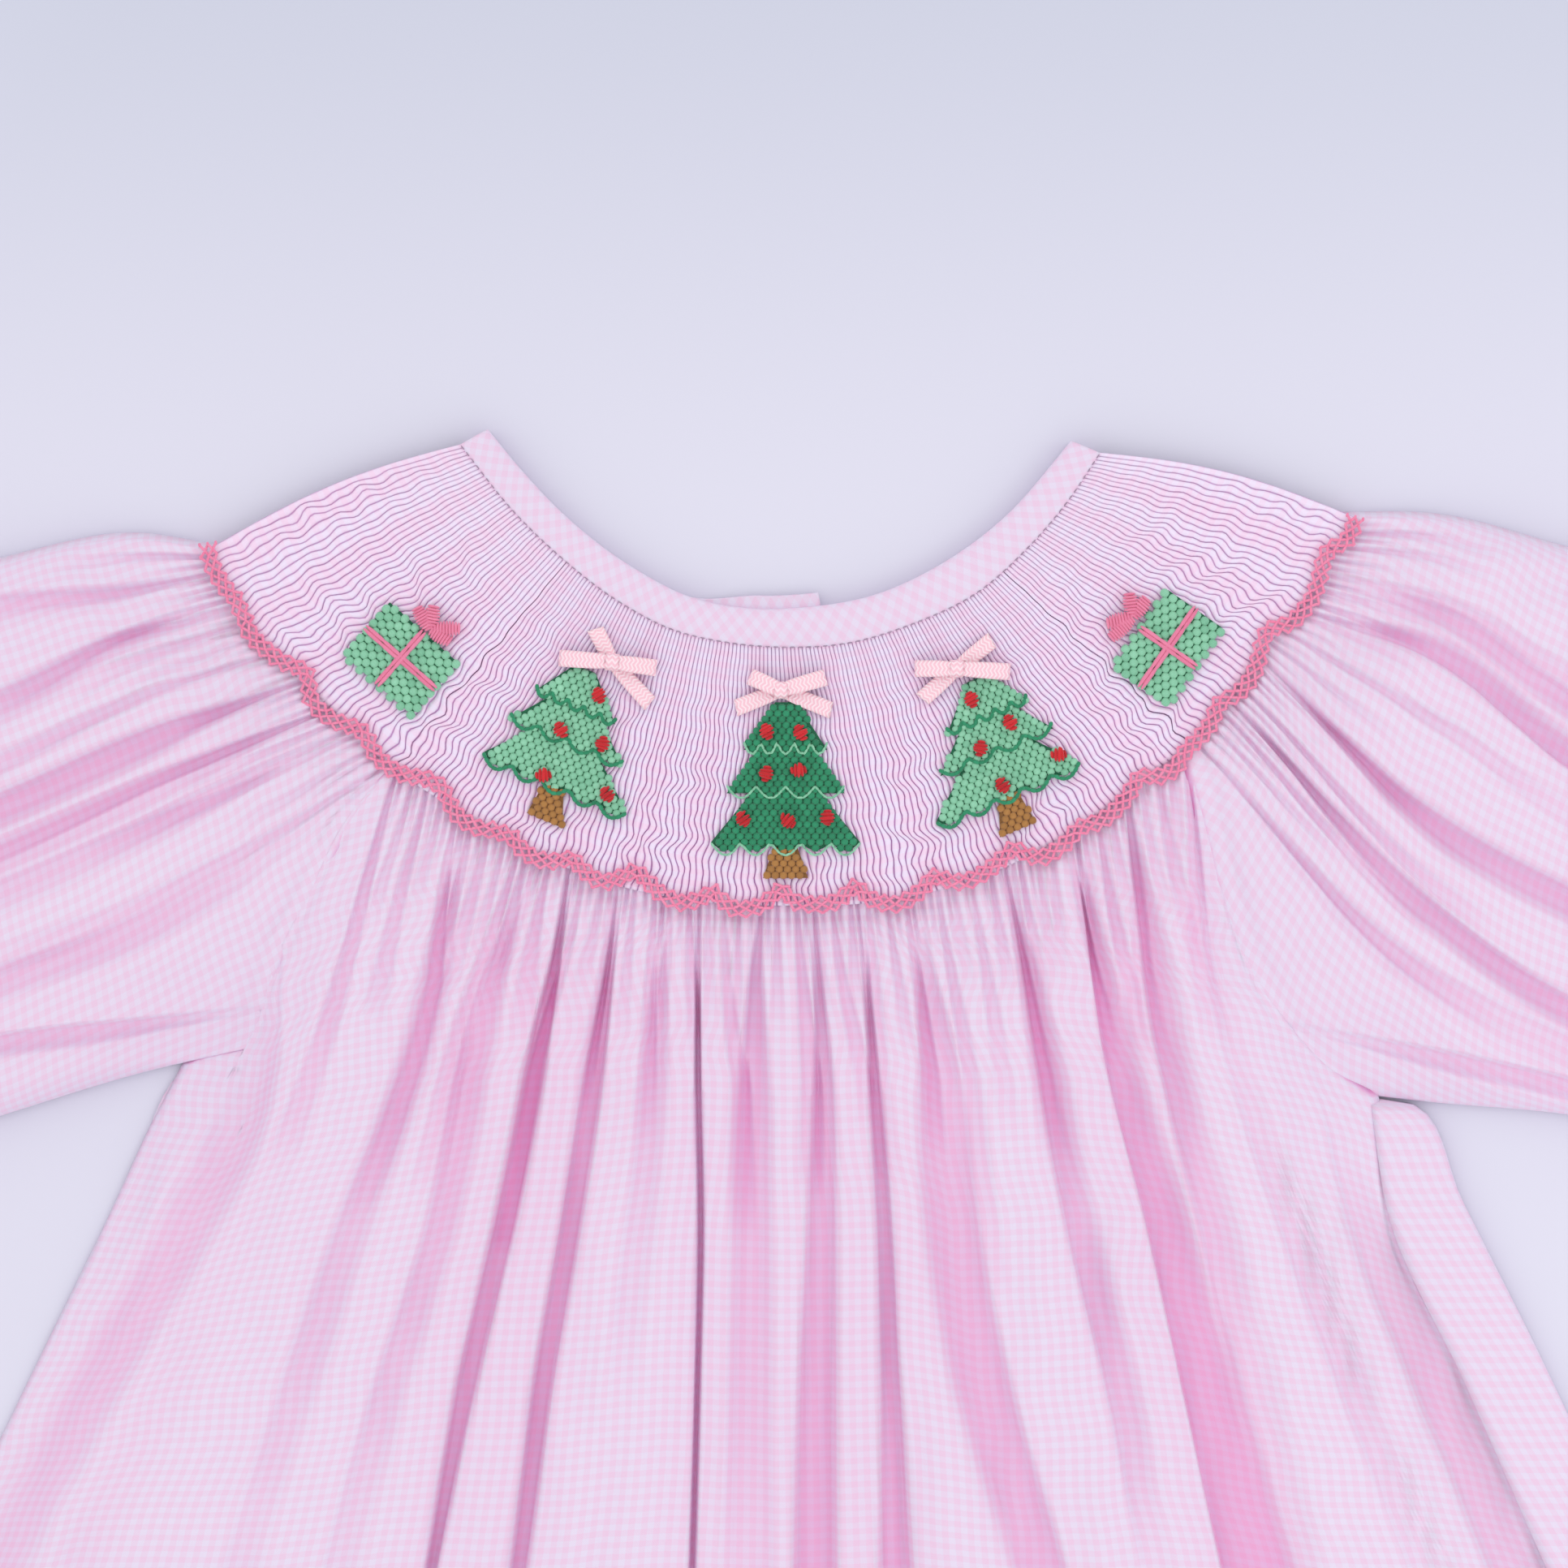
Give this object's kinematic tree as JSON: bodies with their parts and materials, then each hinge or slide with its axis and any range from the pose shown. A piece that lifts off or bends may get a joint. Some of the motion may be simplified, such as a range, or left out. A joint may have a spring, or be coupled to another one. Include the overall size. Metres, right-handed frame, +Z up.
{
  "type": "smocked dress",
  "caption": "Small child's long-sleeved bishop dress in pink gingham with a hand-smocked yoke, laid flat with its front up.",
  "frame": {"origin": "the middle of the dress's outline, on the surface that it lies on", "axes": "+X towards the sleeve at the picture's right, +Y from the hem towards the neck, +Z up, out of the front"},
  "size_m": [0.7858, 0.4932, 0.0218],
  "materials": {
    "gingham_cotton": "matt plain-woven cotton with a fine pink and white check",
    "coral_thread": "stranded cotton, soft sheen",
    "dark_green_thread": "stranded cotton, soft sheen",
    "mint_thread": "stranded cotton, soft sheen",
    "brown_thread": "stranded cotton, soft sheen",
    "rose_thread": "stranded cotton, soft sheen",
    "grosgrain_ribbon": "ribbed polyester ribbon, low sheen"
  },
  "bodies": {
    "root": {"front": "gingham_cotton", "back_left": "gingham_cotton", "back_right": "gingham_cotton", "sleeve_left": "gingham_cotton", "sleeve_right": "gingham_cotton", "cuff_left": "gingham_cotton", "cuff_right": "gingham_cotton", "neck_binding": "gingham_cotton", "wave_stitch": "coral_thread", "tree_left": "mint_thread", "tree_centre": "dark_green_thread", "tree_right": "mint_thread", "trunk_left": "brown_thread", "trunk_centre": "brown_thread", "trunk_right": "brown_thread", "gift_left": "mint_thread", "gift_right": "mint_thread", "gift_left_ribbon": "rose_thread", "gift_right_ribbon": "rose_thread", "gift_left_bow": "rose_thread", "gift_right_bow": "rose_thread", "bow_left": "grosgrain_ribbon", "bow_centre": "grosgrain_ribbon", "bow_right": "grosgrain_ribbon"}
  },
  "joints": []
}
